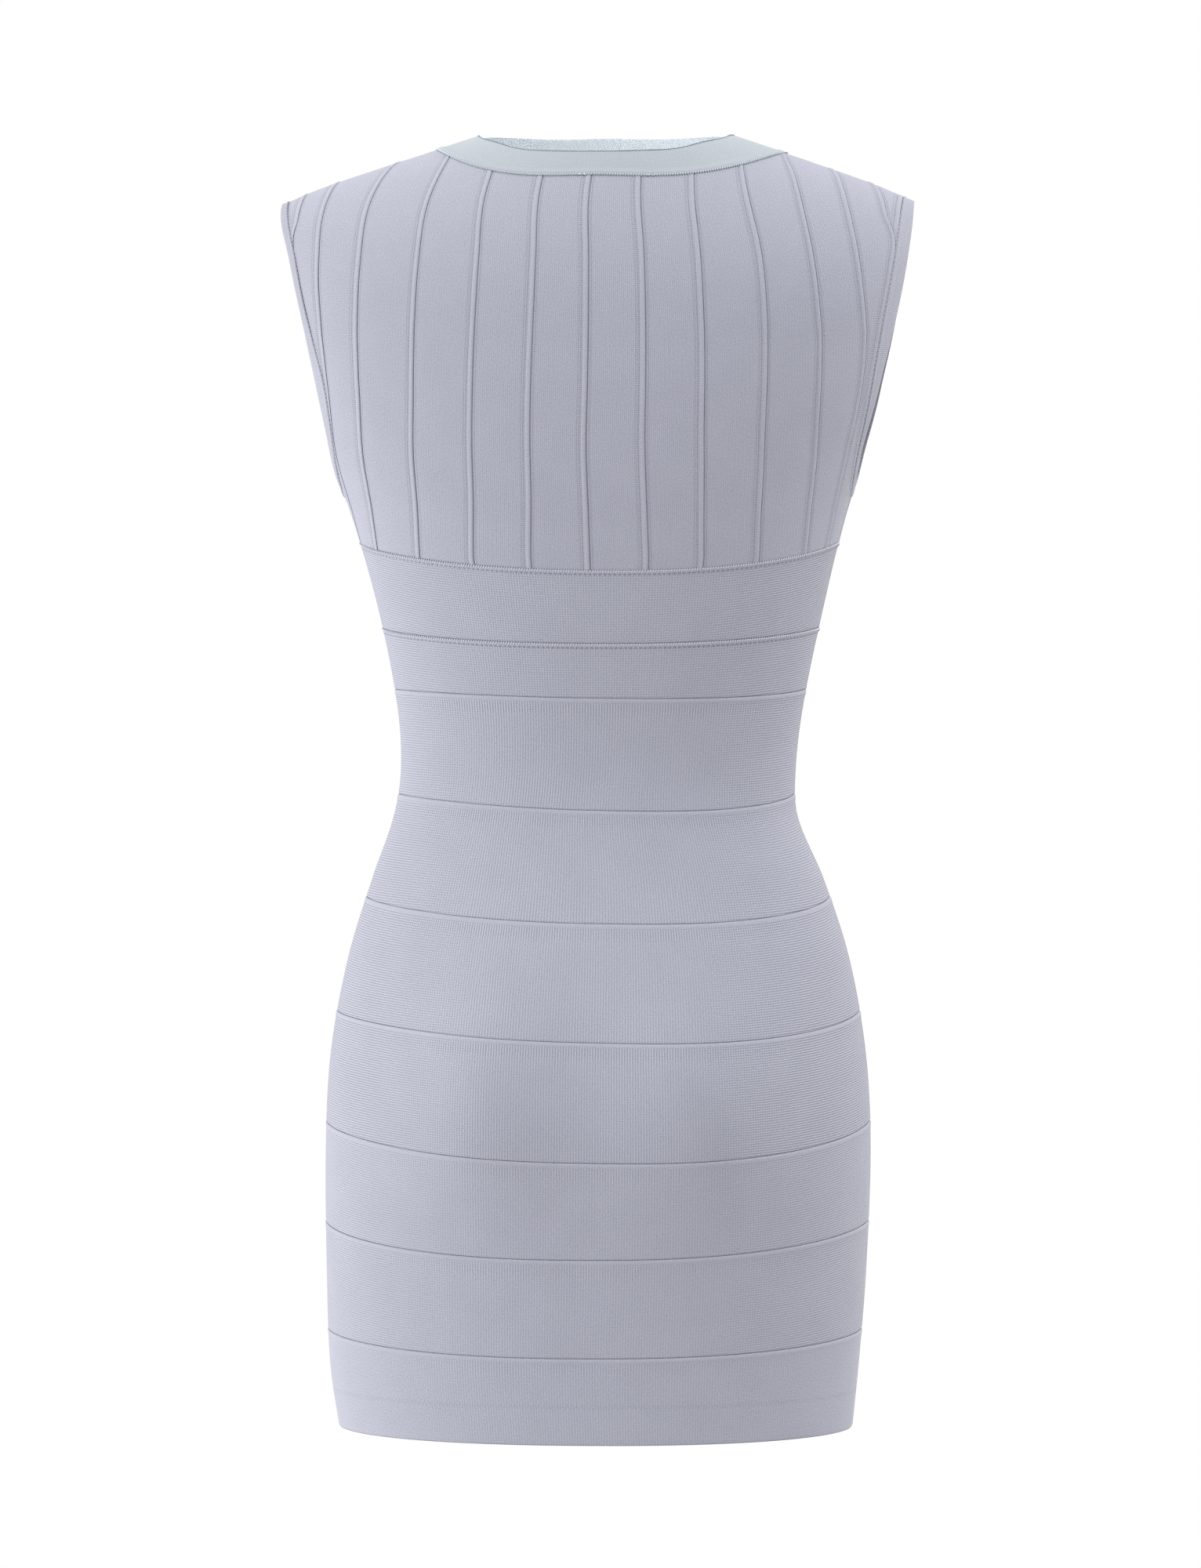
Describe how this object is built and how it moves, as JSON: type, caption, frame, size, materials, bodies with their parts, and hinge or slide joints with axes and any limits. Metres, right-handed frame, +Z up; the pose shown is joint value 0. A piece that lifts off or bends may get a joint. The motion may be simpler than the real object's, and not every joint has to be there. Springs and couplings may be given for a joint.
{
  "type": "bandage mini dress",
  "caption": "Sleeveless close-fitting mini dress in worn form, with a boat neck, vertical bands over the shoulders and horizontal bands from bust to hem.",
  "frame": {"origin": "on the centre line, at the height of the neck end of the shoulders, on the shoulder line between back and front", "axes": "+Z up, front of the dress toward -Y, back toward +Y, the wearer's left toward +X"},
  "size_m": [0.404, 0.2346, 0.8281],
  "materials": {
    "bandage_knit": "matte, close horizontal knit rows with a soft sheen at the edges",
    "binding_knit": "matte, fine ribbed binding, a little paler and bluer"
  },
  "bodies": {
    "root": {"back_strip_01": "bandage_knit", "back_strip_02": "bandage_knit", "back_strip_03": "bandage_knit", "back_strip_04": "bandage_knit", "back_strip_05": "bandage_knit", "back_strip_06": "bandage_knit", "back_strip_07": "bandage_knit", "back_strip_08": "bandage_knit", "back_strip_09": "bandage_knit", "back_strip_10": "bandage_knit", "back_strip_11": "bandage_knit", "back_strip_12": "bandage_knit", "back_strip_13": "bandage_knit", "back_strip_14": "bandage_knit", "front_strip_01": "bandage_knit", "front_strip_02": "bandage_knit", "front_strip_03": "bandage_knit", "front_strip_04": "bandage_knit", "front_strip_05": "bandage_knit", "front_strip_06": "bandage_knit", "front_strip_07": "bandage_knit", "front_strip_08": "bandage_knit", "front_strip_09": "bandage_knit", "front_strip_10": "bandage_knit", "front_strip_11": "bandage_knit", "front_strip_12": "bandage_knit", "front_strip_13": "bandage_knit", "front_strip_14": "bandage_knit", "band_1_back": "bandage_knit", "band_1_front": "bandage_knit", "band_2_back": "bandage_knit", "band_2_front": "bandage_knit", "band_3_back": "bandage_knit", "band_3_front": "bandage_knit", "band_4_back": "bandage_knit", "band_4_front": "bandage_knit", "band_5_back": "bandage_knit", "band_5_front": "bandage_knit", "band_6_back": "bandage_knit", "band_6_front": "bandage_knit", "band_7_back": "bandage_knit", "band_7_front": "bandage_knit", "band_8_back": "bandage_knit", "band_8_front": "bandage_knit", "band_9_back": "bandage_knit", "band_9_front": "bandage_knit", "neck_binding": "binding_knit", "armhole_binding_left": "binding_knit", "armhole_binding_right": "binding_knit"}
  },
  "joints": []
}
